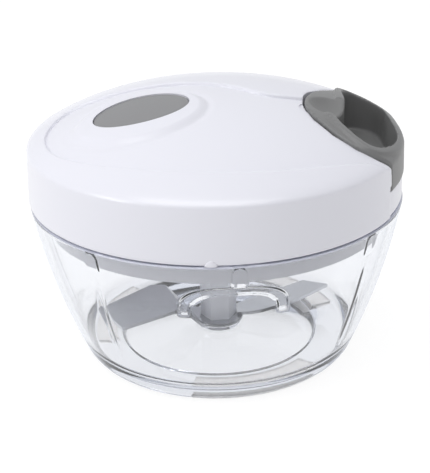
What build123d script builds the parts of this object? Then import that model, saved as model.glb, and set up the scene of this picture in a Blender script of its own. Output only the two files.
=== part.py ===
from build123d import *
import math
import os

# A hand-pulled food processor. Millimetres, +Z up, origin on the axis at the plane it stands on.
# The handle docks at +X and is pulled that way.

# Bowl
FOOT_TOP_Z = 3.4
FOOT_R = 47.0
PAD_DROP = 0.5
BOWL_LOW_R = 49.3
BOWL_MID = (58.4, 29.3)
LEDGE_Z = 57.8
LEDGE_R = 64.7
WALL = 2.4
FLOOR_Z = 5.6
FLOOR_R = 38.5
RECESS_R = 35.5
NECK_R = 61.3
NECK_BORE_R = 59.3
NECK_TOP_Z = 62.6
RIB_COUNT = 8
RIB_WIDTH = 4.6
RIB_TURN = 1.4
RIB_TOP_Z = 56.2
TAB_LOW_Z = 50.4
FIN_WIDTH = 1.4
FIN_LOW_Z = 16.0
FIN_TOP_Z = 44.0
FRONT_RIB = 6
PIN_R = 3.0
PIN_TOP_Z = 34.0
LUG_COUNT = 4
LUG_ARC = 24.0

# Lid
SKIRT_Z = 58.2
SKIRT_R = 65.0
SHOULDER_R = 64.3
SHOULDER_Z = 76.0
CROWN_Z = 93.0
DOME_DROP_2 = 0.00269
DOME_DROP_4 = 2.53e-7
SHELL = 2.0
PANEL_DEPTH = 1.0
PLATE_Z = 64.2
PLATE_TOP_Z = 66.2
PLATE_R = 62.4
PLUG_R = 58.6
PLUG_Z = 50.0
DOCK_GAP = 0.5
DOCK_Z = 66.9
TIP_RELIEF_AT = (31.8, -11.5)
TIP_RELIEF_R = 4.6
RIM_LIFT = 1.2
RIM_WIDTH = 2.6
SCOOP_AT = (42.0, -9.0, 98.0)
SCOOP_R = 13.6
BADGE_AT = (-25.0, -9.5)
BADGE_TILT = 9.0
BADGE_SEMI = (16.2, 11.8)
BADGE_SEAT = 2.2
MOUND_AT = (-25.7, -11.4)
MOUND_SEMI = (21.4, 18.4)
SCREW_R = 1.5
LID_SCREW_ANGLES = (65, 125, 215, 290)
LID_SCREW_RING = 47.0

# Mechanism
REEL_Z = 67.0
DRUM_R = 19.5
DRUM_BORE_R = 17.5
REEL_R = 23.5
CORD_R = 0.9
CORD_TURNS = 3
CORD_Z = REEL_Z + 7.7
CORD_WRAP_R = DRUM_R + CORD_R + 0.1
CORD_CORNER_X = 27.0
EYELET_X = 29.4
KNOT_X = 35.6
CORD_PITCH = 1.75
CORD_TIGHT_R = 0.8
AXLE_R = 2.5
BRIDGE_Z = 79.0
BRIDGE_POST_RING = 28.2
BRIDGE_POST_ANGLES = (100, 180, 260)
COUPLER_R = 6.0
RUN = 0.05

# Blades
BLADE_ANGLE = 25.0
UPPER_BLADE_TURN = -25.0
BLADE_SHEET = 1.2
BLADE_PITCH = -12.0
LOWER_BLADE_Z = 7.4
LOWER_BLADE_RISES = (1.0, 7.6)
UPPER_BLADE_Z = 38.0
UPPER_BLADE_RISES = (-1.0, 1.0)
HEX_FLAT = 11.4
STEM_R = 4.5
HUB_Z = 6.2

os.makedirs("parts", exist_ok=True)


def ring(r_out, r_in, z_low, z_high):
    """A plain ring about the axis."""
    disc = Pos(0, 0, z_low) * extrude(Circle(r_out), amount=z_high - z_low)
    if r_in <= 0:
        return disc
    return disc - Pos(0, 0, z_low - 1) * extrude(Circle(r_in), amount=z_high - z_low + 2)


def rod(x, y, r, z_low, z_high):
    return Pos(x, y, z_low) * extrude(Circle(r), amount=z_high - z_low)


def on_circle(radius, angle):
    a = math.radians(angle)
    return (radius * math.cos(a), radius * math.sin(a))


def sector(angle, arc, z_low, z_high, reach=80.0):
    """A wedge about the axis, centred on the angle."""
    half = math.radians(arc / 2)
    outline = Polyline(
        (0, 0),
        (reach, -reach * math.tan(half)),
        (reach, reach * math.tan(half)),
        close=True,
    )
    wedge = extrude(make_face(outline), amount=z_high - z_low)
    return Pos(0, 0, z_low) * (Rot(0, 0, angle) * wedge)


def spun(edges):
    """Revolve a closed outline in the XZ plane about the axis."""
    return revolve(make_face(Plane.XZ * edges), axis=Axis.Z)


def dome_z(r):
    return CROWN_Z - DOME_DROP_2 * r**2 - DOME_DROP_4 * r**4


def prism(points_or_wire, z_low, z_high):
    return Pos(0, 0, z_low) * extrude(make_face(points_or_wire), amount=z_high - z_low)


def wall_curve(inset):
    """The bowl wall's arc, moved inwards by the inset."""
    lean = 0.93
    return ThreePointArc(
        (BOWL_LOW_R - inset * lean, FOOT_TOP_Z + inset * (1 - lean)),
        (BOWL_MID[0] - inset, BOWL_MID[1]),
        (LEDGE_R - inset, LEDGE_Z),
    )


# ---------------------------------------------------------------- bowl


def bowl_outer():
    outline = Curve() + [
        Line((0, PAD_DROP), (FOOT_R, PAD_DROP)),
        Line((FOOT_R, PAD_DROP), (BOWL_LOW_R, FOOT_TOP_Z)),
        wall_curve(0),
        Line((LEDGE_R, LEDGE_Z), (NECK_R, LEDGE_Z)),
        Line((NECK_R, LEDGE_Z), (NECK_R, NECK_TOP_Z)),
        Line((NECK_R, NECK_TOP_Z), (0, NECK_TOP_Z)),
        Line((0, NECK_TOP_Z), (0, PAD_DROP)),
    ]
    return spun(outline)


def inner_curve(inset, z_low, z_high):
    """Solid of the bowl's inside, between the floor and a height, moved in by the inset."""
    arc = wall_curve(WALL + inset)
    start = (FLOOR_R - inset, FLOOR_Z)
    touch = arc @ 0.12
    outline = Curve() + [
        Line((0, FLOOR_Z), start),
        TangentArc(start, (touch.X, touch.Y), tangent=(1, 0)),
        arc.trim(0.12, 1),
        Line(arc @ 1, (0, LEDGE_Z)),
        Line((0, LEDGE_Z), (0, FLOOR_Z)),
    ]
    return spun(outline) & ring(80, 0, z_low, z_high)


def tab(angle):
    """A short upright tab with a rounded top, on the inner wall under the neck."""
    middle = Pos(0, RIB_TOP_Z - 6) * SlotOverall(12, RIB_WIDTH, rotation=90)
    face = middle & (Pos(0, TAB_LOW_Z + 10) * Rectangle(20, 20))
    return Rot(0, 0, angle) * extrude(Plane.YZ * face, amount=70)


def fin(angle):
    """A narrow upright fin on the inner wall, below a tab."""
    shank = Pos(0, (FIN_LOW_Z + FIN_TOP_Z) / 2) * SlotOverall(FIN_TOP_Z - FIN_LOW_Z, FIN_WIDTH, rotation=90)
    return Rot(0, 0, angle) * extrude(Plane.YZ * shank, amount=70)


def arch_ridge():
    """A thin raised arch on the inside of the front wall."""
    centre_z = 41.0
    outer = Pos(0, centre_z) * RectangleRounded(33, 15, 7.4)
    inner = Pos(0, centre_z) * RectangleRounded(28.4, 10.4, 5.1)
    frame = (outer - inner) - Pos(0, centre_z - 9) * Rectangle(40, 14)
    return Rot(0, 0, -90) * extrude(Plane.YZ * frame, amount=70)


def bowl():
    inside = inner_curve(0, 0, 80)
    ceiling_z = LEDGE_Z - 1.2
    cavity = (inside & ring(80, 0, 0, ceiling_z)) + ring(NECK_BORE_R, 0, ceiling_z - 0.1, NECK_TOP_Z + 1)
    band = (inside & ring(80, 0, 0, ceiling_z)) - inner_curve(1.1, 0, RIB_TOP_Z + 0.1)
    solid = bowl_outer() - cavity
    for i in range(RIB_COUNT):
        solid += band & tab(360 / RIB_COUNT * i + RIB_TURN)
    low_band = (inside & ring(80, 0, 0, ceiling_z)) - inner_curve(0.8, 0, ceiling_z)
    solid += low_band & arch_ridge()
    for i in range(RIB_COUNT):
        if i != FRONT_RIB:
            solid += low_band & fin(360 / RIB_COUNT * i + RIB_TURN)
    solid -= ring(RECESS_R, 0, -1, FLOOR_Z - WALL)
    solid += ring(6.5, 0, FLOOR_Z - WALL - 0.6, FLOOR_Z - 0.6)
    solid += ring(7.7, 0, FLOOR_Z - 1, FLOOR_Z + 0.4)
    for i in range(LUG_COUNT):
        solid += ring(NECK_R + 1.3, NECK_R - 0.5, 60.7, 62.2) & sector(90 * i + 45, LUG_ARC, 60, 63)
    for i in range(3):
        solid -= pad_blank(i, 0.0)
    return solid - rod(0, 0, PIN_R, FLOOR_Z - 2.0, 80)


def pad_blank(index, inset):
    span = ring(46.2 - inset, 38.0 + inset, -1 + inset, 2.4)
    return span & sector(42.5 + 120 * index, 58 - 2 * inset, -2, 3)


def foot_pads():
    pads = [pad_blank(i, 0.0) & ring(60, 0, 0, 5) for i in range(3)]
    return Compound(children=[solid for pad in pads for solid in pad.solids()])


def spindle_pin():
    pin = rod(0, 0, PIN_R, FLOOR_Z - 2.0, PIN_TOP_Z)
    return chamfer(pin.edges().group_by(Axis.Z)[-1], 0.8)


# ---------------------------------------------------------------- blades


def hexagon(flat, z_low, z_high):
    shape = RegularPolygon(flat / 2, 6, major_radius=False)
    return Pos(0, 0, z_low) * extrude(shape, amount=z_high - z_low)


def blade_hub():
    """Foot collar and the stem that carries the blades."""
    body = ring(6.7, 0, HUB_Z, LOWER_BLADE_Z) + ring(STEM_R, 0, LOWER_BLADE_Z, 42)
    return body - rod(0, 0, PIN_R + RUN, HUB_Z - 1, PIN_TOP_Z + 0.4)


def blade_arm(rise):
    """One arm along +X, bent from sheet to run higher or lower than the middle, and pitched."""
    side = Polyline(
        (0, 0),
        (9.0, 0),
        (16.0, rise),
        (48, rise + 0.6),
        (48, rise + 0.6 + BLADE_SHEET),
        (15.6, rise + BLADE_SHEET),
        (8.6, BLADE_SHEET),
        (0, BLADE_SHEET),
        close=True,
    )
    plan = Polyline(
        (5, -5.5),
        (12, -11.0),
        (20.5, -14.0),
        (43.5, -8.5),
        (40.5, 4.0),
        (19, 2.5),
        (5, 4.0),
        close=True,
    )
    strip = extrude(make_face(Plane.XZ * side), amount=25, both=True)
    return (Rot(BLADE_PITCH, 0, 0) * strip) & prism(plan, -20, 20)


def blade(z, angle, rises):
    sheet = ring(9.0, 0, 0, BLADE_SHEET)
    keep_out = ring(6.8, 0, -20, 0) + ring(6.8, 0, BLADE_SHEET, 20)
    for turn, rise in zip((0, 180), rises):
        sheet += Rot(0, 0, turn) * blade_arm(rise)
    sheet -= keep_out
    sheet -= rod(0, 0, STEM_R, -20, 20)
    return Pos(0, 0, z) * Rot(0, 0, angle) * sheet


def blade_spacer():
    sleeve = hexagon(HEX_FLAT, LOWER_BLADE_Z + BLADE_SHEET, UPPER_BLADE_Z)
    return sleeve - rod(0, 0, STEM_R, 0, 80)


def drive_cap():
    """Head of the blade stack, with two driving dogs on top."""
    low = UPPER_BLADE_Z + BLADE_SHEET
    cap = hexagon(HEX_FLAT, low, 46) + ring(5.0, 0, 45, 55.5)
    cap -= rod(0, 0, STEM_R, 0, 42)
    for side in (0, 180):
        cap += ring(5.0, 2.2, 55.4, 60.5) & sector(side + 90, 70, 55, 61)
    return cap


# ---------------------------------------------------------------- lid shells


def lid_blank(t=0.0, wall=0.0):
    """The solid lid form, or its inside when a dome thickness and a skirt wall are given."""
    crown = (0, CROWN_Z - t)
    corner_r = 60.5
    radii = [corner_r * i / 5 for i in range(6)]
    dome = Spline(*[(r * (1 - t / 66), dome_z(r) - t) for r in radii], tangents=[(1, 0), (1, -0.55)])
    shoulder = (SHOULDER_R - wall, SHOULDER_Z)
    low_z = SKIRT_Z - 5 * (wall > 0)
    end = dome @ 1
    outline = Curve() + [
        dome,
        Bezier((end.X, end.Y), (SHOULDER_R - wall, end.Y - 2.1), shoulder),
        Line(shoulder, (SKIRT_R - wall, low_z)),
        Line((SKIRT_R - wall, low_z), (0, low_z)),
        Line((0, low_z), crown),
    ]
    return spun(outline)


def lowered_blank(drop):
    return Pos(0, 0, -drop) * lid_blank()


def grip_outline(grow):
    """Plan of the pull handle: a blunt tip near the middle, widening to the rim."""
    g = grow
    return Curve() + [
        Line((80, -35.6 - g), (49, -35.6 - g)),
        Spline(
            (49, -35.6 - g),
            (36.0 - 0.8 * g, -28.4 - 0.7 * g),
            (29.5 - g, -9.0),
            (37.5 - 0.6 * g, 9.5 + 0.8 * g),
            (54, 36.0 + g),
            tangents=[(-1, 0), (0.55, 1)],
        ),
        Line((54, 36.0 + g), (80, 36.0 + g)),
        Line((80, 36.0 + g), (80, -35.6 - g)),
    ]


def panel_outline():
    """Plan of the sunken swoosh panel on the dome."""
    return Curve() + [
        Spline(
            (46, -39.5),
            (20.9, -50.1),
            (-10.9, -50.8),
            (-42.5, -35.4),
            (-57.2, -10.0),
            (-49.5, 12.7),
            (-15.2, 15.6),
            (6.7, 5.8),
            (20.0, -3.6),
            (32, -3.0),
        ),
        Line((32, -3.0), (46, -39.5)),
    ]


def oval(at, semi, tilt, z_low, z_high):
    shape = extrude(Ellipse(*semi), amount=z_high - z_low)
    return Pos(at[0], at[1], z_low) * Rot(0, 0, tilt) * shape


def lid_cover():
    outer = lid_blank()
    solid = outer - lid_blank(SHELL + PANEL_DEPTH, SHELL)
    skin = outer - lowered_blank(PANEL_DEPTH)
    mound = oval(MOUND_AT, MOUND_SEMI, BADGE_TILT, 70, 100)
    solid -= (prism(panel_outline(), 79, 100) & skin) - mound
    under_panel = lowered_blank(PANEL_DEPTH + 0.5)
    solid += prism(grip_outline(DOCK_GAP + 1.8), PLATE_TOP_Z + 0.1, 100) & under_panel
    solid += rod(*TIP_RELIEF_AT, TIP_RELIEF_R + 1.6, PLATE_TOP_Z + 0.1, 100) & under_panel
    solid -= prism(grip_outline(DOCK_GAP), DOCK_Z, 100)
    solid -= rod(*TIP_RELIEF_AT, TIP_RELIEF_R, DOCK_Z, 100)
    solid -= prism(grip_outline(DOCK_GAP), SKIRT_Z - 1, DOCK_Z + 1) & ring(70, SKIRT_R - 0.6, 50, 80)
    for angle in LID_SCREW_ANGLES:
        x, y = on_circle(LID_SCREW_RING, angle)
        solid += rod(x, y, 3.6, PLATE_TOP_Z + 0.1, 84)
        solid -= rod(x, y, SCREW_R, PLATE_TOP_Z - 1, 76)
    solid -= oval(BADGE_AT, BADGE_SEMI, BADGE_TILT, 70, 100) & (outer - lowered_blank(BADGE_SEAT))
    seat_semi = (BADGE_SEMI[0] + 1.5, BADGE_SEMI[1] + 1.5)
    seat = oval(BADGE_AT, seat_semi, BADGE_TILT, 70, 100)
    solid += seat & (lowered_blank(BADGE_SEAT) - lowered_blank(BADGE_SEAT + SHELL))
    for i in range(LUG_COUNT):
        hook = ring(SKIRT_R - SHELL + 0.4, NECK_R + 0.3, 58.5, 60.3) & sector(90 * i + 15, LUG_ARC, 58, 61)
        solid += hook
    bump = Rot(0, 0, -96) * Pos(SKIRT_R - 0.4, 0, SKIRT_Z) * extrude(Plane.YZ * Circle(1.9), amount=0.9)
    solid += bump & ring(80, 0, SKIRT_Z, 70)
    solid -= Pos(EYELET_X - 6, 0, CORD_Z) * Rot(0, 90, 0) * extrude(Circle(3.7), amount=6)
    return solid - Pos(EYELET_X - 1, 0, CORD_Z) * Rot(0, 90, 0) * extrude(Circle(2.5), amount=8)


def lid_base():
    """Plate that closes the lid, with the plug ring below and the bridge posts above."""
    body = ring(PLATE_R, 0, PLATE_Z, PLATE_TOP_Z)
    body += ring(PLUG_R, PLUG_R - 2.0, PLUG_Z, PLATE_Z + 0.1)
    body += ring(10.5, 0, 61.0, PLATE_Z + 0.1)
    for angle in BRIDGE_POST_ANGLES:
        x, y = on_circle(BRIDGE_POST_RING, angle)
        body += rod(x, y, 3.5, PLATE_TOP_Z - 0.1, BRIDGE_Z)
        body -= rod(x, y, 1.1, PLATE_TOP_Z + 2, BRIDGE_Z + 1)
    for angle in LID_SCREW_ANGLES:
        x, y = on_circle(LID_SCREW_RING, angle)
        body -= rod(x, y, SCREW_R, 50, 80)
    for angle in (0, 60, 120, 180, 240, 300):
        web = Rot(0, 0, angle) * Pos(33.5, 0, 62.6) * Box(47, 1.6, 3.4)
        body += web
    return body - rod(0, 0, 8.0, 50, 80)


def lid_seal():
    face = ring(NECK_R - 0.1, NECK_BORE_R + 0.1, NECK_TOP_Z + 0.3, PLATE_Z)
    return face


def lid_screws():
    screws = []
    for angle in LID_SCREW_ANGLES:
        x, y = on_circle(LID_SCREW_RING, angle)
        screw = rod(x, y, SCREW_R, PLATE_Z - 0.1, 75.5) + rod(x, y, 2.8, PLATE_Z - 1.8, PLATE_Z)
        screw -= Pos(x, y, PLATE_Z - 1.8) * (Box(0.7, 3, 1.6) + Box(3, 0.7, 1.6))
        screws.append(screw)
    return Compound(children=screws)


def top_badge():
    inset = 0.15
    plate = oval(BADGE_AT, (BADGE_SEMI[0] - inset, BADGE_SEMI[1] - inset), BADGE_TILT, 70, 100)
    return plate & (lowered_blank(0.3) - lowered_blank(BADGE_SEAT))


# ---------------------------------------------------------------- mechanism


def coupler_bush():
    body = ring(8.0, COUPLER_R + RUN, 61.0, PLATE_TOP_Z)
    return body + ring(9.5, COUPLER_R + RUN, 60.0, 61.0)


def drive_coupler():
    """Turns with the reel: square key above, dog cup below."""
    body = ring(COUPLER_R, 0, 59.8, REEL_Z - 0.1)
    body += ring(9.0, 0, 53.0, 59.8)
    body += Pos(0, 0, REEL_Z + 0.7) * Box(6.4, 6.4, 2.2)
    body -= ring(7.0, COUPLER_R - 0.8, 66.25, 66.85)
    cup = rod(0, 0, 5.6, 52, 57.2) + rod(0, 0, 5.4, 52, 61.2)
    body -= cup
    for side in (0, 180):
        body += ring(5.6, 2.2, 57.2, 61.3) & sector(side, 66, 57, 62)
    return body


def coupler_clip():
    clip = ring(7.8, COUPLER_R - 0.8, 66.3, 66.8)
    return clip - sector(180, 50, 60, 70)


def reel():
    """Cord drum with a lower flange, a spring cavity and a key socket."""
    floor_top = REEL_Z + 2.4
    body = ring(REEL_R, 0, REEL_Z, floor_top - 1.0)
    body += ring(DRUM_R, 0, REEL_Z, REEL_Z + 9.2)
    body -= ring(DRUM_BORE_R, 0, floor_top, 90)
    body += ring(4.2, 0, floor_top - 0.1, floor_top + 1.6)
    body -= rod(0, 0, AXLE_R + RUN, floor_top - 0.4, 90)
    body -= Pos(0, 0, REEL_Z + 0.85) * Box(6.5, 6.5, 2.1)
    return body - Rot(0, 0, 150) * Pos(DRUM_BORE_R, 0, REEL_Z + 6) * Box(1.2, 0.8, 5.2)


def reel_flange():
    low = REEL_Z + 9.2
    return ring(REEL_R, 7.0, low, low + 1.2)


def cord_leave_angle():
    """Angle at which the cord leaves the drum for the corner ahead of the eyelet."""
    return math.acos(CORD_WRAP_R / CORD_CORNER_X)


def wound_cord():
    """The turns on the drum, just below the height at which the cord leaves."""
    profile = None
    for turn in range(1, CORD_TURNS + 1):
        spot = Pos(CORD_WRAP_R, CORD_Z - 0.05 - CORD_PITCH * turn) * Circle(CORD_R)
        profile = spot if profile is None else profile + spot
    return revolve(Plane.XZ * profile, axis=Axis.Z)


def cord_lead():
    """From the drum's tangent, round to +X, into the eyelet."""
    a = cord_leave_angle()
    start = (CORD_WRAP_R * math.cos(a), -CORD_WRAP_R * math.sin(a))
    route = FilletPolyline(start, (CORD_CORNER_X, 0), (EYELET_X + 2.0, 0), radius=3.5)
    path = Pos(0, 0, CORD_Z) * route
    section = Plane(origin=path @ 0, z_dir=path % 0) * Circle(CORD_TIGHT_R)
    return sweep(section, path=path)


def cord_tail():
    start = EYELET_X + 2.0
    return Pos(start, 0, CORD_Z) * Rot(0, 90, 0) * extrude(Circle(CORD_TIGHT_R), amount=KNOT_X - start)


def cord_knot():
    ball = Pos(KNOT_X + 1.8, 0, CORD_Z) * Sphere(2.0)
    return ball & (Pos(KNOT_X + 2.5, 0, CORD_Z) * Box(5, 5, 5))


def cord_eyelet():
    along = Pos(0, 0, CORD_Z) * Rot(0, 90, 0)
    tube = Pos(EYELET_X, 0, 0) * along * extrude(Circle(2.5), amount=1.4)
    lip = Pos(EYELET_X - 1.0, 0, 0) * along * extrude(Circle(3.6), amount=1.0)
    bore = Pos(20, 0, 0) * along * extrude(Circle(1.5), amount=20)
    mouth = Pos(EYELET_X - 0.2, 0, 0) * along * Cone(3.0, 1.5, 2.0)
    return (tube + lip) - bore - mouth


def power_spring():
    """Flat spiral made of half turns whose centres step to and fro."""
    thick = 0.4
    pitch = 2.2
    half_turns = 10
    start_r = 5.1
    strip = None
    for k in range(half_turns):
        radius = start_r + pitch / 2 * k + pitch / 4
        shift = pitch / 4 if k % 2 == 0 else -pitch / 4
        side = 1 if k % 2 == 0 else -1
        band = Pos(shift, 0) * (Circle(radius + thick / 2) - Circle(radius - thick / 2))
        band = band & (Pos(0, 20 * side) * Rectangle(80, 40))
        strip = band if strip is None else strip + band
    return Pos(0, 0, REEL_Z + 3.4) * Rot(0, 0, -30) * extrude(strip, amount=5.0)


def spring_arbor():
    low = REEL_Z + 4.2
    body = ring(4.4, AXLE_R, low, BRIDGE_Z - 0.8)
    return body + ring(6.2, AXLE_R, BRIDGE_Z - 0.8, BRIDGE_Z)


def reel_axle():
    return rod(0, 0, AXLE_R, REEL_Z + 2.2, BRIDGE_Z + 3.2)


def reel_bridge():
    """Three-armed plate that holds the axle over the reel."""
    body = ring(9.5, 0, BRIDGE_Z, BRIDGE_Z + 2.0)
    for angle in BRIDGE_POST_ANGLES:
        arm = Rot(0, 0, angle) * Pos(BRIDGE_POST_RING / 2, 0, BRIDGE_Z + 1.0) * Box(BRIDGE_POST_RING, 8, 2)
        x, y = on_circle(BRIDGE_POST_RING, angle)
        body += arm + rod(x, y, 4.0, BRIDGE_Z, BRIDGE_Z + 2.0)
        body -= rod(x, y, 1.1, 60, 90)
    body += ring(5.5, 0, BRIDGE_Z, BRIDGE_Z + 3.2)
    return body - rod(0, 0, AXLE_R, 60, 90)


def bridge_screws():
    screws = []
    for angle in BRIDGE_POST_ANGLES:
        x, y = on_circle(BRIDGE_POST_RING, angle)
        top = BRIDGE_Z + 2.0
        screw = rod(x, y, 1.1, PLATE_TOP_Z + 3, top) + rod(x, y, 2.2, top, top + 1.4)
        screw -= Pos(x, y, top + 1.4) * (Box(0.6, 2.6, 1.4) + Box(2.6, 0.6, 1.4))
        screws.append(screw)
    return Compound(children=screws)


# ---------------------------------------------------------------- handle


def cup_outline(grow=0.0):
    """Plan of the finger cup in the handle."""
    g = grow
    return Curve() + [
        Spline(
            (40.3 - g, -9.0),
            (40.6 - 0.9 * g, -26.0 - 0.4 * g),
            (47.5 - 0.1 * g, -32.6 - g),
            (57.0 + 0.8 * g, -24.0 - 0.6 * g),
            (60.2 + g, 0.0),
            (56.5 + 0.9 * g, 22.0 + 0.5 * g),
            (52.0 - 0.1 * g, 24.5 + g),
            (46.5 - 0.8 * g, 14.0 + 0.6 * g),
            periodic=True,
        )
    ]


def pull_handle():
    """Grip that fills the dock: a finger cup with a raised rim, and a scoop from the tip into it."""
    body = lid_blank() & prism(grip_outline(0), DOCK_Z + 0.3, 100)
    rim = Pos(0, 0, RIM_LIFT) * lid_blank() & prism(cup_outline(RIM_WIDTH), 75, 100)
    body += rim & prism(grip_outline(0), 70, 100)
    body -= prism(cup_outline(), DOCK_Z + 1.3, 100)
    body -= Pos(*SCOOP_AT) * Sphere(SCOOP_R)
    knot_room = Pos(KNOT_X, 0, CORD_Z) * Rot(0, 90, 0)
    body -= knot_room * extrude(Circle(2.6), amount=8)
    body -= Pos(25, 0, CORD_Z) * Rot(0, 90, 0) * extrude(Circle(1.0), amount=12)
    return body


PARTS = {
    "bowl": bowl,
    "foot_pads": foot_pads,
    "spindle_pin": spindle_pin,
    "blade_hub": blade_hub,
    "lower_blade": lambda: blade(LOWER_BLADE_Z, BLADE_ANGLE, LOWER_BLADE_RISES),
    "upper_blade": lambda: blade(UPPER_BLADE_Z, BLADE_ANGLE + UPPER_BLADE_TURN, UPPER_BLADE_RISES),
    "blade_spacer": blade_spacer,
    "drive_cap": drive_cap,
    "lid_cover": lid_cover,
    "lid_base": lid_base,
    "lid_seal": lid_seal,
    "lid_screws": lid_screws,
    "top_badge": top_badge,
    "coupler_bush": coupler_bush,
    "drive_coupler": drive_coupler,
    "coupler_clip": coupler_clip,
    "reel": reel,
    "reel_flange": reel_flange,
    "wound_cord": wound_cord,
    "cord_lead": cord_lead,
    "cord_tail": cord_tail,
    "cord_knot": cord_knot,
    "cord_eyelet": cord_eyelet,
    "power_spring": power_spring,
    "spring_arbor": spring_arbor,
    "reel_axle": reel_axle,
    "reel_bridge": reel_bridge,
    "bridge_screws": bridge_screws,
    "pull_handle": pull_handle,
}

for name, make in PARTS.items():
    shape = make()
    export_step(shape, f"parts/{name}.step")
    print(name, len(shape.solids()), round(shape.volume))
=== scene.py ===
"""Looks of the hand-pulled food processor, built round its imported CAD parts. Metres, +Z up."""

import math

import bpy
import numpy as np
from mathutils import Matrix, Vector


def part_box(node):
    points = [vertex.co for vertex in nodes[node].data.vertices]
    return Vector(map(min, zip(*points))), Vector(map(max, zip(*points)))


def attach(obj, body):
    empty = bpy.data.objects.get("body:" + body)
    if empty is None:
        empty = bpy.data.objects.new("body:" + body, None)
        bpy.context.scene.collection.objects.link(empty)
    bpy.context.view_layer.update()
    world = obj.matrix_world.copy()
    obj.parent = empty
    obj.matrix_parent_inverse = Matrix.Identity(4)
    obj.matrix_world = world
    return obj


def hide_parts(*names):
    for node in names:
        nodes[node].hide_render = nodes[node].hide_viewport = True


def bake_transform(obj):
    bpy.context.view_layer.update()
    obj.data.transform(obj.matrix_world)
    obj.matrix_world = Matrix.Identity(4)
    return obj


MM = 0.001
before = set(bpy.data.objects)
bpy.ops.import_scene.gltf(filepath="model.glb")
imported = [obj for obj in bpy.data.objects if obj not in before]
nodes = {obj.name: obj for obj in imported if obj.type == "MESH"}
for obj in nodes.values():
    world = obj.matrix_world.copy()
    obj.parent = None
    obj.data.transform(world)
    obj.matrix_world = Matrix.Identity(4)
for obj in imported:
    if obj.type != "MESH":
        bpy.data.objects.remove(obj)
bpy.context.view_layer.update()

# Sizes read from the frame
LID_LOW, LID_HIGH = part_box("lid_cover")
BOWL_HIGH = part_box("bowl")[1]
CROWN_Z = LID_HIGH[2]
SKIRT_Z = LID_LOW[2]
LEDGE_R = BOWL_HIGH[0]
NECK_TOP_Z = BOWL_HIGH[2]

# Lid form
DOME_DROP_2 = 0.00269 / MM
DOME_DROP_4 = 2.53e-7 / MM**3
DOME_END_R = 60.5 * MM
SKIRT_R = 65.0 * MM
SKIRT_ROUND = 1.2 * MM
SHOULDER = (64.3 * MM, 76.0 * MM)
LID_WALL = 2.0 * MM
DOME_WALL = 3.0 * MM
PANEL_DEPTH = 1.0 * MM
PANEL_EDGE = 0.55 * MM
CREASE_DEPTH = 0.3 * MM
CREASE_WIDTH = 0.5 * MM
DOCK_Z = 66.9 * MM
TIP_RELIEF_AT = (31.8 * MM, -11.5 * MM)
TIP_RELIEF_R = 4.6 * MM
BADGE_AT = (-25.0 * MM, -9.5 * MM)
BADGE_TILT = math.radians(9.0)
BADGE_SEMI = (16.2 * MM, 11.8 * MM)
MOUND_AT = (-25.7 * MM, -11.4 * MM)
MOUND_SEMI = (21.4 * MM, 18.4 * MM)
MOUND_EDGE = 3.2 * MM
MOAT_DEPTH = 0.22 * MM
MOAT_WIDTH = 1.2 * MM
DOCK_GAP = 0.5 * MM
DOCK_LIP = 0.35 * MM
DOCK_LIP_WIDTH = 0.9 * MM
DOCK_WALL = 1.8 * MM
DOCK_WALL_END_R = 62.6 * MM
NOTCH_HALF_ANGLE = math.radians(34.6)
NOTCH_DEPTH = 0.6 * MM
BADGE_SEAT = 1.6 * MM

# Bowl form
WALL = 2.4 * MM
FLOOR_Z = 5.6 * MM
FOOT_Z = 0.5 * MM
LEDGE_Z = 57.8 * MM
RIM_HEIGHT = 0.9 * MM
NECK_R = 61.3 * MM
NECK_BORE_R = 59.3 * MM
RIB_COUNT = 8
RIB_WIDTH = 4.6 * MM
RIB_TURN = math.radians(1.4)
RIB_TOP_Z = 56.5 * MM
TAB_LOW_Z = 50.4 * MM
RIB_PROUD = 0.45 * MM
FIN_LOW_Z = 16.0 * MM
FIN_TOP_Z = 44.0 * MM
FIN_SPREAD = 1.3 * MM
FIN_PROUD = 0.18 * MM
ARCH_SEMI = (15.4 * MM, 9.2 * MM)
ARCH_Z = 39.0 * MM
ARCH_FOOT_Z = 39.4 * MM
ARCH_HALF = 1.15 * MM
ARCH_PROUD = 0.6 * MM

# Cord
CORD_WRAP_R = 20.5 * MM
CORD_CORNER_X = 27.0 * MM

# Faces round the lid and bowl, and the height that every cutter clears
AROUND = 900
CUT_TOP_Z = 120 * MM

# Light
DIM_SIDE = (0.22, -0.96, -0.15)
SKY_BRIGHT = 0.74
SKY_DIM = 0.02
FLOOR_GLOW = 0.9
FLOOR_HALF = 30.0


# ---------------------------------------------------------------- mesh helpers


def new_mesh(name, verts, faces, body, smooth=True):
    mesh = bpy.data.meshes.new(name)
    mesh.from_pydata([tuple(v) for v in verts], [], faces)
    mesh.validate()
    mesh.update()
    obj = bpy.data.objects.new(name, mesh)
    bpy.context.collection.objects.link(obj)
    if smooth:
        mesh.shade_smooth()
    if body:
        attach(obj, body)
    return obj


def lathe(rows):
    """Vertices and faces of a closed body: rows of (around, 3) points between two poles on the axis."""
    rows = np.asarray(rows)
    count, around, _ = rows.shape
    verts = rows.reshape(-1, 3).tolist()
    faces = []
    for i in range(count - 1):
        for j in range(around):
            k = (j + 1) % around
            faces.append((i * around + j, i * around + k, (i + 1) * around + k, (i + 1) * around + j))
    top, bottom = len(verts), len(verts) + 1
    verts.append((0.0, 0.0, float(rows[0][:, 2].mean())))
    verts.append((0.0, 0.0, float(rows[-1][:, 2].mean())))
    last = (count - 1) * around
    for j in range(around):
        k = (j + 1) % around
        faces.append((top, k, j))
        faces.append((bottom, last + j, last + k))
    return verts, faces


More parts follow.
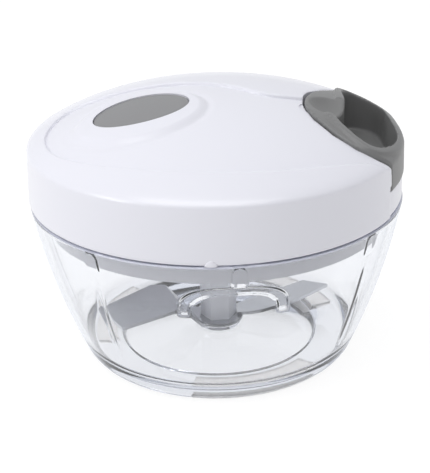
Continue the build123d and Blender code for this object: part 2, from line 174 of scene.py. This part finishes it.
def arc_through(a, b, c, count):
    """Points on the circle through three (r, z) points, from the first to the last."""
    (x1, y1), (x2, y2), (x3, y3) = a, b, c
    d = 2 * (x1 * (y2 - y3) + x2 * (y3 - y1) + x3 * (y1 - y2))
    s1, s2, s3 = x1**2 + y1**2, x2**2 + y2**2, x3**2 + y3**2
    ux = (s1 * (y2 - y3) + s2 * (y3 - y1) + s3 * (y1 - y2)) / d
    uy = (s1 * (x3 - x2) + s2 * (x1 - x3) + s3 * (x2 - x1)) / d
    radius = math.hypot(x1 - ux, y1 - uy)
    start = math.atan2(y1 - uy, x1 - ux)
    end = math.atan2(y3 - uy, x3 - ux)
    return [
        (ux + radius * math.cos(start + (end - start) * t), uy + radius * math.sin(start + (end - start) * t))
        for t in np.linspace(0, 1, count)
    ]


def bezier(a, b, c, count):
    return [
        tuple((1 - t) ** 2 * np.array(a) + 2 * t * (1 - t) * np.array(b) + t**2 * np.array(c))
        for t in np.linspace(0, 1, count)
    ]


def line(a, b, count):
    return [tuple(np.array(a) + (np.array(b) - np.array(a)) * t) for t in np.linspace(0, 1, count)]


def smooth_span(p0, p1, p2, p3, count):
    """Points from p1 towards p2 on a Catmull-Rom curve."""
    points = []
    for t in np.arange(count) / count:
        square = (2 * p0 - 5 * p1 + 4 * p2 - p3) * t**2
        cube = (3 * p1 - p0 - 3 * p2 + p3) * t**3
        points.append(0.5 * (2 * p1 + (p2 - p0) * t + square + cube))
    return points


def smooth_loop(points, per_span=12):
    """Closed smooth curve through plan points."""
    p = np.array(points)
    n = len(p)
    out = []
    for i in range(n):
        out += smooth_span(p[i - 1], p[i], p[(i + 1) % n], p[(i + 2) % n], per_span)
    return np.array(out)


def smooth_open(points, per_span=8):
    """Smooth curve through plan points that stops at its ends."""
    p = [np.array(q, float) for q in points]
    p = [2 * p[0] - p[1]] + p + [2 * p[-1] - p[-2]]
    out = []
    for p0, p1, p2, p3 in zip(p, p[1:], p[2:], p[3:]):
        out += smooth_span(p0, p1, p2, p3, per_span)
    out.append(p[-2])
    return out


def signed_distance(loop, x, y):
    """Distance to a closed plan loop, positive inside."""
    best = np.full(x.shape, 1e9)
    inside = np.zeros(x.shape, bool)
    for (ax, ay), (bx, by) in zip(loop, np.roll(loop, -1, axis=0)):
        dx, dy = bx - ax, by - ay
        t = np.clip(((x - ax) * dx + (y - ay) * dy) / (dx * dx + dy * dy), 0, 1)
        best = np.minimum(best, np.hypot(x - ax - t * dx, y - ay - t * dy))
        crosses = (ay > y) != (by > y)
        safe = np.where(abs(dy) < 1e-12, 1e-12, dy)
        inside ^= crosses & (x < dx * (y - ay) / safe + ax)
    return np.where(inside, best, -best)


def step(value, width):
    """0 below -width/2, 1 above width/2, smooth between."""
    t = np.clip(value / width + 0.5, 0, 1)
    return t * t * (3 - 2 * t)


def modifier(obj, kind, **settings):
    mod = obj.modifiers.new(kind.lower(), kind)
    for key, value in settings.items():
        setattr(mod, key, value)
    return mod


def apply_modifiers(obj):
    deps = bpy.context.evaluated_depsgraph_get()
    mesh = bpy.data.meshes.new_from_object(obj.evaluated_get(deps))
    obj.modifiers.clear()
    obj.data = mesh


# ---------------------------------------------------------------- materials


def material(name, base, roughness, metallic=0.0, **sockets):
    mat = bpy.data.materials.new(name)
    mat.use_nodes = True
    shader = mat.node_tree.nodes["Principled BSDF"]
    shader.inputs["Base Color"].default_value = (*base, 1.0)
    shader.inputs["Roughness"].default_value = roughness
    shader.inputs["Metallic"].default_value = metallic
    for key, value in sockets.items():
        shader.inputs[key.replace("_", " ")].default_value = value
    return mat


def add_noise(mat, scale, bump, rough_low, rough_high, stretch=(1, 1, 1), detail=3.0):
    """Fine surface grain: noise drives the bump and a small roughness variation."""
    tree = mat.node_tree
    shader = tree.nodes["Principled BSDF"]
    coords = tree.nodes.new("ShaderNodeTexCoord")
    mapping = tree.nodes.new("ShaderNodeMapping")
    mapping.inputs["Scale"].default_value = stretch
    noise = tree.nodes.new("ShaderNodeTexNoise")
    noise.inputs["Scale"].default_value = scale
    noise.inputs["Detail"].default_value = detail
    tree.links.new(coords.outputs["Object"], mapping.inputs["Vector"])
    tree.links.new(mapping.outputs["Vector"], noise.inputs["Vector"])
    ramp = tree.nodes.new("ShaderNodeMapRange")
    ramp.inputs["To Min"].default_value = rough_low
    ramp.inputs["To Max"].default_value = rough_high
    tree.links.new(noise.outputs["Fac"], ramp.inputs["Value"])
    tree.links.new(ramp.outputs["Result"], shader.inputs["Roughness"])
    relief = tree.nodes.new("ShaderNodeBump")
    relief.inputs["Strength"].default_value = bump
    relief.inputs["Distance"].default_value = 0.0002
    tree.links.new(noise.outputs["Fac"], relief.inputs["Height"])
    tree.links.new(relief.outputs["Normal"], shader.inputs["Normal"])
    return mat


def make_materials():
    white = material("white_plastic", (0.76, 0.76, 0.82), 0.34, Coat_Weight=0.3, Coat_Roughness=0.14)
    # painted light: near-full white, brighter than the lid's own white plastic, stands in for light lost on
    # the way in through the clear bowl
    inner = material("white_inner_plastic", (0.96, 0.96, 1.0), 0.4)
    grey = material("grey_satin_plastic", (0.195, 0.195, 0.195), 0.45, Specular_IOR_Level=0.4)
    badge = material("badge_plastic", (0.23, 0.23, 0.235), 0.42)
    rim = material("clear_rim", (0.74, 0.76, 0.88), 0.12, Transmission_Weight=0.35, IOR=1.47)
    blade = material("blade_steel", (0.58, 0.59, 0.62), 0.24, 1.0)
    pin = material("turned_steel", (0.62, 0.62, 0.64), 0.25, 1.0)
    spring = material("spring_steel", (0.32, 0.33, 0.36), 0.3, 1.0)
    # painted light: near-full white, raised to stand in for light lost on the way in through the clear bowl
    hub = material("hub_plastic", (0.95, 0.96, 1.0), 0.35)
    gear = material("natural_plastic", (0.72, 0.71, 0.66), 0.45)
    rubber = material("pad_rubber", (0.97, 0.95, 0.92), 0.5, Transmission_Weight=0.85, IOR=1.4)
    silicone = material("seal_silicone", (0.80, 0.80, 0.82), 0.6)
    return {
        "white": add_noise(white, 900, 0.03, 0.30, 0.38),
        "inner": add_noise(inner, 700, 0.03, 0.36, 0.46),
        "grey": add_noise(grey, 2600, 0.16, 0.36, 0.46),
        "badge": add_noise(badge, 2600, 0.12, 0.36, 0.46),
        "glass": clear_plastic(),
        "rim": add_noise(rim, 400, 0.02, 0.1, 0.16),
        "blade": add_noise(blade, 500, 0.06, 0.18, 0.28, (1, 18, 1)),
        "pin": add_noise(pin, 900, 0.05, 0.18, 0.3, (1, 1, 20)),
        "spring": add_noise(spring, 700, 0.05, 0.22, 0.36),
        "hub": add_noise(hub, 700, 0.03, 0.3, 0.42),
        "gear": add_noise(gear, 800, 0.05, 0.4, 0.52),
        "rubber": add_noise(rubber, 1500, 0.1, 0.45, 0.55),
        "silicone": add_noise(silicone, 900, 0.08, 0.55, 0.7),
        "cord": cord_material(),
    }


def clear_plastic():
    """Clear plastic that goes grey-blue where the line of sight runs a long way through it; a dark blue-grey
    sheen paints shade on its edges where they are seen at a grazing angle.
    """
    mat = material(
        "clear_plastic",
        (0.985, 0.99, 1.0),
        0.02,
        Transmission_Weight=1.0,
        IOR=1.47,
        # painted shade: a dark tinted sheen darkens the edges seen at a grazing angle
        Sheen_Weight=1.0,
        Sheen_Roughness=0.25,
        Sheen_Tint=(0.30, 0.34, 0.42, 1.0),
    )
    tree = mat.node_tree
    depth = tree.nodes.new("ShaderNodeVolumeAbsorption")
    depth.inputs["Color"].default_value = (0.80, 0.82, 0.87, 1.0)
    depth.inputs["Density"].default_value = 70.0
    tree.links.new(depth.outputs["Volume"], tree.nodes["Material Output"].inputs["Volume"])
    return add_noise(mat, 60, 0.02, 0.01, 0.03)


def cord_material():
    """Braided white cord: two crossed waves of fine strands."""
    mat = material("braided_cord", (0.80, 0.79, 0.75), 0.8, Sheen_Weight=0.3)
    tree = mat.node_tree
    shader = tree.nodes["Principled BSDF"]
    coords = tree.nodes.new("ShaderNodeTexCoord")
    waves = []
    for angle in (0.7, -0.7):
        mapping = tree.nodes.new("ShaderNodeMapping")
        mapping.inputs["Rotation"].default_value = (0, angle, angle)
        wave = tree.nodes.new("ShaderNodeTexWave")
        wave.inputs["Scale"].default_value = 700
        tree.links.new(coords.outputs["Object"], mapping.inputs["Vector"])
        tree.links.new(mapping.outputs["Vector"], wave.inputs["Vector"])
        waves.append(wave)
    mix = tree.nodes.new("ShaderNodeMath")
    mix.operation = "MAXIMUM"
    tree.links.new(waves[0].outputs["Fac"], mix.inputs[0])
    tree.links.new(waves[1].outputs["Fac"], mix.inputs[1])
    relief = tree.nodes.new("ShaderNodeBump")
    relief.inputs["Strength"].default_value = 0.6
    relief.inputs["Distance"].default_value = 0.0002
    tree.links.new(mix.outputs["Value"], relief.inputs["Height"])
    tree.links.new(relief.outputs["Normal"], shader.inputs["Normal"])
    return mat


def paint(obj, mat):
    obj.data.materials.clear()
    obj.data.materials.append(mat)


# ---------------------------------------------------------------- plan outlines shared with the CAD


def grip_plan(grow=0.0):
    """Plan of the pull handle in millimetres, grown by a distance."""
    g = grow / MM
    return [
        (49, -35.6 - g),
        (42.0, -33.6 - 0.9 * g),
        (36.0 - 0.8 * g, -28.4 - 0.7 * g),
        (31.3 - 0.95 * g, -20.0 - 0.3 * g),
        (29.5 - g, -9.0),
        (31.8 - 0.9 * g, 1.2 + 0.4 * g),
        (37.5 - 0.6 * g, 9.5 + 0.8 * g),
        (46.5 - 0.6 * g, 22.0 + 0.7 * g),
        (54 - 0.2 * g, 36.0 + g),
    ]


def dome_z(r):
    return CROWN_Z - DOME_DROP_2 * r**2 - DOME_DROP_4 * r**4


# Plan of the sunken panel, in millimetres
PANEL_PLAN = [
    (20.9, -50.1), (5.0, -52.3), (-10.9, -50.8), (-27.0, -45.4), (-42.5, -35.4), (-53.0, -23.0),
    (-57.2, -10.0), (-56.0, 3.0), (-49.5, 12.7), (-33.5, 16.6), (-15.2, 15.6), (-3.0, 11.5),
    (6.7, 5.8), (13.0, 0.2), (20.0, -3.6), (28.0, -4.0), (40, -4.0), (60, -20.0), (60, -36.0),
    (46, -40.0), (36.0, -44.6),
]  # fmt: skip


def ellipse_distance(x, y, at, semi, tilt):
    """Roughly the distance inside an ellipse."""
    u = (x - at[0]) * math.cos(tilt) + (y - at[1]) * math.sin(tilt)
    v = -(x - at[0]) * math.sin(tilt) + (y - at[1]) * math.cos(tilt)
    k = np.hypot(u / semi[0], v / semi[1])
    return (1 - k) * min(semi)


# ---------------------------------------------------------------- lid


def lid_profile():
    """Outer (r, z) points of the lid, from near the crown to the skirt's foot."""
    points = [(r, dome_z(r)) for r in np.linspace(0.4 * MM, DOME_END_R, 190)]
    end = points[-1]
    points += bezier(end, (SHOULDER[0], end[1] - 2.1 * MM), SHOULDER, 12)[1:]
    points += line(SHOULDER, (SKIRT_R - 0.02 * MM, SKIRT_Z + SKIRT_ROUND), 14)[1:]
    corner = (SKIRT_R - SKIRT_ROUND, SKIRT_Z)
    points += bezier(points[-1], (SKIRT_R, SKIRT_Z), corner, 6)[1:]
    return points


def lid_cover():
    outer = lid_profile()
    inner = [(r - LID_WALL, z) for r, z in reversed(outer) if SKIRT_Z + 1 * MM < z < SHOULDER[1]]
    inner = [(SKIRT_R - LID_WALL, SKIRT_Z)] + inner
    inner += [(r, dome_z(r) - DOME_WALL) for r in np.linspace(DOME_END_R, 0.4 * MM, 30)]
    angles = np.linspace(0, 2 * math.pi, AROUND, endpoint=False)
    panel = smooth_loop(np.array(PANEL_PLAN) * MM, 6)
    rows = []
    for index, (r, z) in enumerate(outer + inner):
        x, y = r * np.cos(angles), r * np.sin(angles)
        height = np.full(AROUND, z)
        if index < len(outer) and z > 74 * MM:
            height = height - panel_drop(panel, x, y)
        if index < len(outer) and z < DOCK_Z + 2 * MM:
            beside = abs((angles + math.pi) % (2 * math.pi) - math.pi)
            deep = NOTCH_DEPTH * step(NOTCH_HALF_ANGLE - beside, 0.012)
            x, y = x * (1 - deep / r), y * (1 - deep / r)
        rows.append(np.stack([x, y, height], axis=1))
    verts, faces = lathe(rows)
    cover = new_mesh("lid_shell", verts, faces, "lid")
    cut(cover, dock_cutter())
    cut(cover, tip_cutter())
    cut(cover, badge_cutter())
    return cover


def panel_drop(panel, x, y):
    """How far the top lies below the plain dome: the panel sinks, and the mound in it rises back.

    A fine crease follows the panel's outline, a moat the mound's, and the dock's edge is rounded off.
    """
    edge = signed_distance(panel, x, y)
    sunk = step(edge, PANEL_EDGE)
    mound = step(ellipse_distance(x, y, MOUND_AT, MOUND_SEMI, BADGE_TILT), MOUND_EDGE)
    moat_semi = (MOUND_SEMI[0] + 2 * MM, MOUND_SEMI[1] + 2 * MM)
    moat_at = ellipse_distance(x, y, MOUND_AT, moat_semi, BADGE_TILT)
    moat = np.exp(-((moat_at / MOAT_WIDTH) ** 2)) * MOAT_DEPTH * sunk
    dock = np.array(grip_plan(DOCK_GAP) + [(90, 36.5), (90, -36.1)]) * MM
    near = np.clip(1 + signed_distance(dock, x, y) / DOCK_LIP_WIDTH, 0, 1.2)
    crease = np.exp(-((edge / CREASE_WIDTH) ** 2)) * CREASE_DEPTH
    drop = PANEL_DEPTH * (sunk - mound * 1.15) * np.maximum(sunk, mound)
    return drop + moat + DOCK_LIP * near**2 + crease


def prism(plan, z_low, z_high, name):
    """Upright solid on a plan outline."""
    count = len(plan)
    verts = [(x, y, z_low) for x, y in plan] + [(x, y, z_high) for x, y in plan]
    faces = [tuple(reversed(range(count))), tuple(range(count, 2 * count))]
    for i in range(count):
        j = (i + 1) % count
        faces.append((i, j, j + count, i + count))
    mesh = bpy.data.meshes.new(name)
    mesh.from_pydata(verts, [], faces)
    obj = bpy.data.objects.new(name, mesh)
    bpy.context.collection.objects.link(obj)
    return obj


def dock_cutter():
    plan = [tuple(q * MM) for q in smooth_open(grip_plan(DOCK_GAP))]
    plan += [(0.09, 36.5 * MM), (0.09, -36.1 * MM)]
    plan.reverse()
    return prism(plan, DOCK_Z, CUT_TOP_Z, "dock_cutter")


def tip_cutter():
    """Round finger relief beside the handle's tip."""
    x, y = TIP_RELIEF_AT
    plan = []
    for k in range(48):
        a = 2 * math.pi * k / 48
        plan.append((x + TIP_RELIEF_R * math.cos(a), y + TIP_RELIEF_R * math.sin(a)))
    return prism(plan, DOCK_Z, CUT_TOP_Z, "tip_cutter")


def badge_point(share, angle):
    """Plan point on the badge's oval, or on a smaller copy of it."""
    u, v = BADGE_SEMI[0] * share * math.cos(angle), BADGE_SEMI[1] * share * math.sin(angle)
    x = BADGE_AT[0] + u * math.cos(BADGE_TILT) - v * math.sin(BADGE_TILT)
    y = BADGE_AT[1] + u * math.sin(BADGE_TILT) + v * math.cos(BADGE_TILT)
    return x, y


def badge_cutter():
    """Oval cutter whose foot follows the dome, a little under the badge."""
    count = 96
    verts = []
    for level in (0, 1):
        for i in range(count):
            x, y = badge_point(1.0, 2 * math.pi * i / count)
            z = CUT_TOP_Z if level else dome_z(math.hypot(x, y)) - BADGE_SEAT
            verts.append((x, y, z))
    centre = dome_z(math.hypot(*BADGE_AT)) - BADGE_SEAT
    verts.append((*BADGE_AT, centre))
    foot = len(verts) - 1
    faces = [tuple(range(count, 2 * count))]
    for i in range(count):
        j = (i + 1) % count
        faces.append((foot, j, i))
        faces.append((i, j, j + count, i + count))
    mesh = bpy.data.meshes.new("badge_cutter")
    mesh.from_pydata(verts, [], faces)
    obj = bpy.data.objects.new("badge_cutter", mesh)
    bpy.context.collection.objects.link(obj)
    return obj


def cut(obj, cutter):
    modifier(obj, "BOOLEAN", operation="DIFFERENCE", object=cutter, solver="EXACT")
    apply_modifiers(obj)
    bpy.data.objects.remove(cutter)
    for face in obj.data.polygons:
        face.use_smooth = True
    obj.data.set_sharp_from_angle(angle=math.radians(32))


def dock_wall():
    """The upright wall of the handle's dock, from the plate up to just under the dome."""
    inner = smooth_open(grip_plan(DOCK_GAP + 0.02 * MM))
    outer = smooth_open(grip_plan(DOCK_GAP + DOCK_WALL))
    verts, faces = [], []
    for a, b in zip(inner, outer):
        for x, y in (a * MM, b * MM):
            if math.hypot(x, y) > DOCK_WALL_END_R:
                scale = DOCK_WALL_END_R / math.hypot(x, y)
                x, y = x * scale, y * scale
            top = dome_z(math.hypot(x, y)) - 1.4 * MM
            verts += [(x, y, DOCK_Z + 0.1 * MM), (x, y, top)]
    for i in range(len(inner) - 1):
        a, b = 4 * i, 4 * (i + 1)
        faces += [(a, b, b + 1, a + 1), (a + 2, a + 3, b + 3, b + 2)]
        faces += [(a + 1, b + 1, b + 3, a + 3), (a, a + 2, b + 2, b)]
    end = 4 * (len(inner) - 1)
    faces += [(0, 1, 3, 2), (end, end + 2, end + 3, end + 1)]
    return new_mesh("dock_wall", verts, faces, "lid", smooth=False)


def top_badge():
    """Plain oval inlay with a small rounded edge, following the dome."""
    count, rings = 120, 10
    rows = []
    for k in range(rings + 4):
        share = [*np.linspace(0.08, 0.955, rings), 0.975, 0.988, 0.992, 0.992][k]
        drop = [*np.zeros(rings), 0.12, 0.35, 0.8, 1.6][k] * MM
        ring_points = []
        for i in range(count):
            x, y = badge_point(share, 2 * math.pi * i / count)
            ring_points.append((x, y, dome_z(math.hypot(x, y)) - 0.15 * MM - drop))
        rows.append(ring_points)
    verts, faces = lathe(rows)
    top, foot = len(verts) - 2, len(verts) - 1
    verts[top] = (*BADGE_AT, dome_z(math.hypot(*BADGE_AT)) - 0.15 * MM)
    verts[foot] = (*BADGE_AT, dome_z(math.hypot(*BADGE_AT)) - 1.5 * MM)
    return new_mesh("oval_badge", verts, faces, "lid")


def alignment_bump():
    """Small half-round bump on the skirt's lower edge."""
    count = 24
    rows = []
    for k in np.linspace(0.05, 1.0, 8):
        bulge = math.sqrt(1 - k**2) * 0.7 * MM
        row = []
        for i in range(count):
            a = 2 * math.pi * i / count
            side, up = 2.0 * MM * k * math.cos(a), 2.0 * MM * k * math.sin(a)
            row.append((SKIRT_R - 0.25 * MM + bulge, side, SKIRT_Z + max(up, 0.0)))
        rows.append(row)
    verts, faces = lathe(rows)
    verts[-2] = (SKIRT_R + 0.45 * MM, 0, SKIRT_Z)
    verts[-1] = (SKIRT_R - 0.3 * MM, 0, SKIRT_Z + 0.5 * MM)
    turn = Matrix.Rotation(math.radians(-96.4), 3, "Z")
    verts = [turn @ Vector(v) for v in verts]
    return new_mesh("alignment_bump", verts, faces, "lid")


# ---------------------------------------------------------------- handle


def soft_copy(node, name, body, voxel, rounds):
    """A copy of a CAD node with its corners rounded like a moulding."""
    source = nodes[node]
    obj = bpy.data.objects.new(name, source.data.copy())
    bpy.context.collection.objects.link(obj)
    modifier(obj, "REMESH", mode="VOXEL", voxel_size=voxel)
    modifier(obj, "SMOOTH", factor=0.5, iterations=rounds)
    apply_modifiers(obj)
    obj.data.shade_smooth()
    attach(obj, body)
    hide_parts(node)
    return obj


# ---------------------------------------------------------------- bowl


def bowl_profile():
    """Outer then inner (r, z) points; the second list is the inner wall that carries the ribs."""
    low = (49.3 * MM, 3.4 * MM)
    mid = (58.4 * MM, 29.3 * MM)
    high = (LEDGE_R, LEDGE_Z - 0.6 * MM)
    under = [(0.5 * MM, 3.2 * MM), (34.9 * MM, 3.2 * MM), (35.5 * MM, 2.8 * MM)]
    under += [(35.6 * MM, FOOT_Z + 0.3 * MM), (36.0 * MM, FOOT_Z), (46.4 * MM, FOOT_Z)]
    outer = bezier((46.4 * MM, FOOT_Z), (47.6 * MM, FOOT_Z), low, 10)
    outer += arc_through(low, mid, high, 60)[1:]
    outer += bezier(high, (LEDGE_R, LEDGE_Z), (LEDGE_R - 0.6 * MM, LEDGE_Z), 5)[1:]
    outer += [(NECK_R + 0.3 * MM, LEDGE_Z), (NECK_R, LEDGE_Z + 0.3 * MM)]
    outer += [(NECK_R, NECK_TOP_Z - 0.4 * MM), (NECK_R - 0.4 * MM, NECK_TOP_Z)]
    outer += [(NECK_BORE_R + 0.4 * MM, NECK_TOP_Z), (NECK_BORE_R, NECK_TOP_Z - 0.4 * MM)]
    ceiling = LEDGE_Z - 1.2 * MM
    outer += [(NECK_BORE_R, ceiling + 0.3 * MM), (NECK_BORE_R + 0.3 * MM, ceiling)]
    lean = 0.93
    inner_arc = arc_through(
        (low[0] - WALL * lean, low[1] + WALL * (1 - lean)),
        (mid[0] - WALL, mid[1]),
        (LEDGE_R - WALL, LEDGE_Z),
        170,
    )
    touch = int(0.12 * 170)
    inner_arc = [p for p in inner_arc[touch:] if p[1] < ceiling]
    start = (38.5 * MM, FLOOR_Z)
    foot = bezier(start, (inner_arc[0][0] - 1.2 * MM, FLOOR_Z), inner_arc[0], 12)
    inner = list(reversed(inner_arc)) + list(reversed(foot))[1:]
    boss_z = FLOOR_Z + 0.4 * MM
    floor = line((38.0 * MM, FLOOR_Z), (8.1 * MM, FLOOR_Z), 10)
    floor += [(7.8 * MM, FLOOR_Z + 0.2 * MM), (7.5 * MM, boss_z), (0.5 * MM, boss_z)]
    return under + outer[1:], inner, floor


def rib_height(angles, r, z):
    """How far the inner wall stands in at one height: tabs and fins all round, an arch at the front."""
    pitch = 2 * math.pi / RIB_COUNT
    off = (angles - RIB_TURN + pitch / 2) % pitch - pitch / 2
    side = abs(off) * r
    half = RIB_WIDTH / 2
    reach = np.hypot(side, max(z - (RIB_TOP_Z - half), 0.0))
    tab = step(half - reach, 0.9 * MM) * step(z - TAB_LOW_Z, 2.5 * MM) * RIB_PROUD
    front = (angles + math.pi / 2 + math.pi) % (2 * math.pi) - math.pi
    taper = step(z - FIN_LOW_Z, 12 * MM) * step(FIN_TOP_Z - z, 12 * MM)
    fin = np.exp(-((side / FIN_SPREAD) ** 2)) * FIN_PROUD * taper * (np.abs(front) > 0.2)
    u, v = front * r / ARCH_SEMI[0], max((z - ARCH_Z) / ARCH_SEMI[1], 0.0)
    ring_at = (np.abs(u) ** 3.0 + v**3.0) ** (1 / 3.0)
    edge = (ring_at - 1) * (ARCH_SEMI[1] if v > 0.5 else ARCH_SEMI[0] * 0.75)
    fade = step(z - ARCH_FOOT_Z, 3.0 * MM)
    arch = step(ARCH_HALF - np.abs(edge), 0.7 * MM) * ARCH_PROUD * fade
    return np.maximum(np.maximum(tab, fin), arch)


def clear_bowl():
    outer, inner, floor = bowl_profile()
    angles = np.linspace(0, 2 * math.pi, AROUND, endpoint=False)
    rows = []
    for r, z in outer:
        rows.append(np.stack([r * np.cos(angles), r * np.sin(angles), np.full(AROUND, z)], axis=1))
    for r, z in inner:
        rr = r - rib_height(angles, r, z)
        rows.append(np.stack([rr * np.cos(angles), rr * np.sin(angles), np.full(AROUND, z)], axis=1))
    for r, z in floor:
        rows.append(np.stack([r * np.cos(angles), r * np.sin(angles), np.full(AROUND, z)], axis=1))
    verts, faces = lathe(rows)
    bowl = new_mesh("clear_bowl", verts, faces, "bowl_body")
    bowl.data.set_sharp_from_angle(angle=math.radians(50))
    return bowl


def bayonet_lugs():
    """Four lugs round the neck that hold the lid once it is turned."""
    verts, faces = [], []
    for i in range(4):
        start = len(verts)
        steps = 10
        for k in range(steps + 1):
            a = math.radians(90 * i + 45 - 12 + 24 * k / steps)
            ease = 0.25 * MM if k in (0, steps) else 0.0
            for r, z in ((60.9, 60.7), (62.5, 61.0), (62.5, 61.9), (60.9, 62.2)):
                rr = r * MM - (ease if r > 62 else 0)
                verts.append((rr * math.cos(a), rr * math.sin(a), z * MM))
        for k in range(steps):
            a, b = start + 4 * k, start + 4 * (k + 1)
            for j in range(4):
                m = (j + 1) % 4
                faces.append((a + j, b + j, b + m, a + m))
        faces.append((start + 3, start + 2, start + 1, start))
        end = start + 4 * steps
        faces.append((end, end + 1, end + 2, end + 3))
    return new_mesh("bayonet_lugs", verts, faces, "bowl_body", smooth=False)


# ---------------------------------------------------------------- cord


def pull_cord():
    """One cord from the drum to the knot."""
    tail_low, tail_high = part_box("cord_tail")
    z = (tail_low[2] + tail_high[2]) / 2
    radius = (tail_high[2] - tail_low[2]) / 2
    corner = CORD_CORNER_X
    leave = math.acos(CORD_WRAP_R / corner)
    begin = (CORD_WRAP_R * math.cos(leave), -CORD_WRAP_R * math.sin(leave))
    route = [begin, (corner - 2.2 * MM, -2.4 * MM), (corner, -0.5 * MM)]
    route += [(corner + 2.2 * MM, 0.0), (tail_high[0], 0.0)]
    line_points = smooth_open(route, 14)
    sides = 16
    rows = []
    for i, p in enumerate(line_points):
        ahead = line_points[min(i + 1, len(line_points) - 1)] - line_points[max(i - 1, 0)]
        ahead = ahead / np.linalg.norm(ahead)
        left = np.array([-ahead[1], ahead[0]])
        row = []
        for s in range(sides):
            t = 2 * math.pi * s / sides
            side = left * math.cos(t) * radius
            row.append((p[0] + side[0], p[1] + side[1], z + math.sin(t) * radius))
        rows.append(row)
    verts, faces = lathe(rows)
    verts[-2] = (*line_points[0], z)
    verts[-1] = (*line_points[-1], z)
    obj = new_mesh("pull_cord", verts, faces, None)
    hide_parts("cord_lead", "cord_tail")
    return obj, corner, tail_low, z


# ---------------------------------------------------------------- stage


def camera():
    """The eye: on the -Y side, turned a little, tipped down and rolled."""
    turn = Matrix.Rotation(math.radians(-4.5), 4, "Z")
    place = Matrix.Translation((-0.00074, -0.3560, 0.2002))
    tip = Matrix.Rotation(math.radians(90) - 0.4260, 4, "X")
    roll = Matrix.Rotation(-0.0220, 4, "Z")
    data = bpy.data.cameras.new("eye")
    data.sensor_width = 36.0
    data.lens = 83.0
    data.clip_start = 0.01
    cam = bpy.data.objects.new("eye", data)
    cam.matrix_world = turn @ place @ tip @ roll
    bpy.context.collection.objects.link(cam)
    bpy.context.scene.camera = cam


def area_light(name, at, to, size, power):
    data = bpy.data.lights.new(name, "AREA")
    data.shape = "RECTANGLE"
    data.size, data.size_y = size
    data.energy = power
    light = bpy.data.objects.new(name, data)
    light.location = at
    light.rotation_euler = (Vector(to) - Vector(at)).to_track_quat("-Z", "Y").to_euler()
    bpy.context.collection.objects.link(light)


def sky():
    """Soft white studio tent, left dim only on the side where the camera stands."""
    world = bpy.data.worlds.new("studio")
    bpy.context.scene.world = world
    world.use_nodes = True
    tree = world.node_tree
    back = tree.nodes["Background"]
    coords = tree.nodes.new("ShaderNodeTexCoord")
    facing = tree.nodes.new("ShaderNodeVectorMath")
    facing.operation = "DOT_PRODUCT"
    facing.inputs[1].default_value = DIM_SIDE
    ramp = tree.nodes.new("ShaderNodeMapRange")
    ramp.interpolation_type = "SMOOTHSTEP"
    ramp.inputs["From Min"].default_value = 0.1
    ramp.inputs["From Max"].default_value = 0.8
    ramp.inputs["To Min"].default_value = SKY_BRIGHT
    ramp.inputs["To Max"].default_value = SKY_DIM
    tree.links.new(coords.outputs["Generated"], facing.inputs[0])
    tree.links.new(facing.outputs["Value"], ramp.inputs["Value"])
    tree.links.new(ramp.outputs["Result"], back.inputs["Strength"])
    back.inputs["Color"].default_value = (0.97, 0.98, 1.0, 1)


def studio():
    sky()
    centre = (0, 0, 0.05)
    area_light("key", (-0.75, -0.28, 0.55), centre, (0.3, 0.3), 1.7)
    area_light("top", (-0.1, -0.35, 0.9), centre, (0.9, 0.5), 4.2)
    mesh = bpy.data.meshes.new("floor")
    far = FLOOR_HALF
    corners = [(-far, -far, 0), (far, -far, 0), (far, far, 0), (-far, far, 0)]
    mesh.from_pydata(corners, [], [(0, 1, 2, 3)])
    floor = bpy.data.objects.new("floor", mesh)
    bpy.context.collection.objects.link(floor)
    glow = {"Emission_Color": (1, 1, 1, 1), "Emission_Strength": FLOOR_GLOW}
    paint(floor, material("pale_floor", (0.14, 0.14, 0.14), 0.9, **glow))
    bpy.context.scene.view_settings.view_transform = "Standard"


# ---------------------------------------------------------------- assembly


NODE_MATERIAL = {
    "foot_pads": "rubber",
    "spindle_pin": "pin",
    "blade_hub": "hub",
    "blade_spacer": "hub",
    "drive_cap": "hub",
    "lower_blade": "blade",
    "upper_blade": "blade",
    "lid_base": "inner",
    "lid_seal": "silicone",
    "lid_screws": "pin",
    "coupler_bush": "gear",
    "drive_coupler": "gear",
    "coupler_clip": "pin",
    "reel": "gear",
    "reel_flange": "gear",
    "wound_cord": "cord",
    "cord_knot": "cord",
    "cord_eyelet": "pin",
    "power_spring": "spring",
    "spring_arbor": "gear",
    "reel_axle": "pin",
    "reel_bridge": "gear",
    "bridge_screws": "pin",
}


# CAD nodes that are seen, so their edges get a small round
ROUNDED_NODES = (
    "lower_blade",
    "upper_blade",
    "foot_pads",
    "lid_base",
    "blade_hub",
    "blade_spacer",
    "drive_cap",
)


def dress_nodes(mats):
    """Paint the CAD nodes that stay visible, and round the edges of the ones that are seen."""
    for node, key in NODE_MATERIAL.items():
        paint(nodes[node], mats[key])
    for node in ROUNDED_NODES:
        modifier(nodes[node], "BEVEL", width=0.25 * MM, segments=2, limit_method="ANGLE", angle_limit=0.6)
        nodes[node].data.shade_smooth()
        modifier(nodes[node], "WEIGHTED_NORMAL", keep_sharp=True)


def dress_lid(mats):
    cover = lid_cover()
    wall = dock_wall()
    bump = alignment_bump()
    for piece in (cover, wall, bump):
        paint(piece, mats["white"])
    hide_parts("lid_cover")
    badge = top_badge()
    paint(badge, mats["badge"])
    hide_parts("top_badge")


def dress_bowl(mats):
    """Clear bowl whose top rim, which carries the lid, is pale and cloudy."""
    bowl = clear_bowl()
    lugs = bayonet_lugs()
    paint(bowl, mats["glass"])
    bowl.data.materials.append(mats["rim"])
    for face in bowl.data.polygons:
        if face.center.z > LEDGE_Z - RIM_HEIGHT:
            face.material_index = 1
    paint(lugs, mats["glass"])
    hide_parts("bowl")


def main():
    mats = make_materials()
    dress_nodes(mats)
    dress_lid(mats)
    grip = soft_copy("pull_handle", "handle_grip", "handle", 0.45 * MM, 6)
    paint(grip, mats["grey"])
    dress_bowl(mats)
    cord, corner, tail_low, z = pull_cord()
    paint(cord, mats["cord"])
    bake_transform(cord)
    camera()
    studio()


main()
